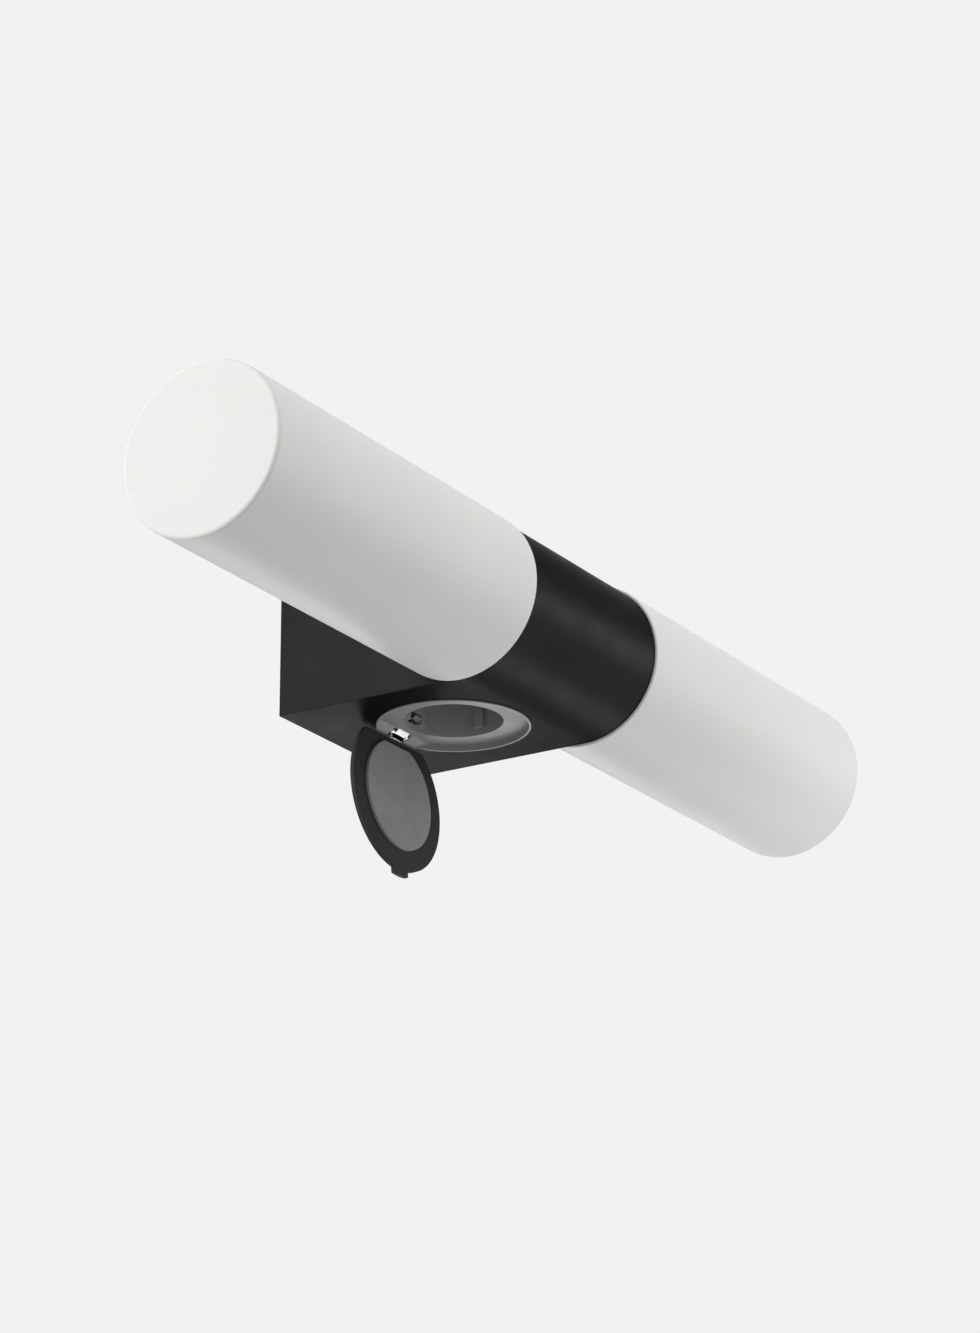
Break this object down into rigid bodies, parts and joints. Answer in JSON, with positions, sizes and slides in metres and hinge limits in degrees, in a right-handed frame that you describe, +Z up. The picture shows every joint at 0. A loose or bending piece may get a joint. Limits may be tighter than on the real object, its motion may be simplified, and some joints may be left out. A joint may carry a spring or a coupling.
{
  "type": "wall light with socket outlet",
  "caption": "Wall light with an opal glass tube on each side of a rounded metal body, and an earthed socket outlet with a hinged lid on the underside.",
  "frame": {"origin": "middle of the wall face, level with the axis of the glass tubes", "axes": "+X along the glass tubes, to the right for a viewer who faces the wall; +Y into the wall, so -Y is the front; +Z up"},
  "size_m": [0.4504, 0.122, 0.1286],
  "materials": {
    "black_metal": "satin black powder coat",
    "black_rubber": "matt",
    "zinc_steel": "zinc plated",
    "black_screw": "blackened steel",
    "white_plastic": "matt",
    "brass": "plain",
    "grey_plastic": "fine matt",
    "dark_plastic": "fine matt",
    "nickel_brass": "nickel plated",
    "pin_steel": "drawn",
    "spring_steel": "bright rolled",
    "lid_plastic": "fine matt",
    "seal_foam": "matt",
    "bright_chrome": "polished",
    "white_metal": "white enamel",
    "silicone": "translucent matt",
    "opal_glass": "opal white, satin inside, glossy outside",
    "white_ceramic": "glazed",
    "cap_alloy": "plain",
    "lead_sleeve": "smooth",
    "socket_sleeve": "smooth",
    "earth_sleeve": "smooth"
  },
  "bodies": {
    "fixture": {"housing": "black_metal", "wall_gasket": "black_rubber", "wall_bracket": "zinc_steel", "grub_screws": "black_screw", "cable_grommet": "black_rubber", "terminal_block": "white_plastic", "terminal_clamp_screws": "zinc_steel", "terminal_fixing_screw": "zinc_steel", "earth_screw": "brass", "socket_gasket": "black_rubber", "socket_bezel": "grey_plastic", "socket_insert": "dark_plastic", "contact_sleeves": "brass", "earth_strap": "nickel_brass", "socket_back_cover": "dark_plastic", "socket_screws": "zinc_steel", "hinge_pin": "pin_steel", "lid_spring": "spring_steel", "shade_carrier_left": "white_metal", "shade_carrier_right": "white_metal", "shade_seal_left": "silicone", "shade_seal_right": "silicone", "lampholder_left": "white_ceramic", "lampholder_right": "white_ceramic", "holder_shell_left": "nickel_brass", "holder_shell_right": "nickel_brass", "centre_contact_left": "brass", "centre_contact_right": "brass", "holder_nipple_left": "zinc_steel", "holder_nipple_right": "zinc_steel", "lock_nut_left": "zinc_steel", "lock_nut_right": "zinc_steel", "bulb_cap_left": "cap_alloy", "bulb_cap_right": "cap_alloy", "bulb_globe_left": "opal_glass", "bulb_globe_right": "opal_glass", "lamp_leads_left": "lead_sleeve", "lamp_leads_right": "lead_sleeve", "socket_leads": "socket_sleeve", "earth_lead": "earth_sleeve"},
    "lid": {"socket_lid": "lid_plastic", "lid_seal": "seal_foam", "lid_hinge_leaf": "bright_chrome"},
    "shade_left": {"glass_shade_left": "opal_glass"},
    "shade_right": {"glass_shade_right": "opal_glass"}
  },
  "joints": [
    {"name": "lid_hinge", "type": "hinge", "parent": "fixture", "child": "lid", "pos_m": [0, -0.0266, -0.0324], "axis": [-1, 0, 0], "range_deg": [-5, 86.1]},
    {"name": "shade_left_slide", "type": "slide", "parent": "fixture", "child": "shade_left", "axis": [-1, 0, 0], "range_m": [0, 0.12]},
    {"name": "shade_right_slide", "type": "slide", "parent": "fixture", "child": "shade_right", "axis": [1, 0, 0], "range_m": [0, 0.12]}
  ]
}
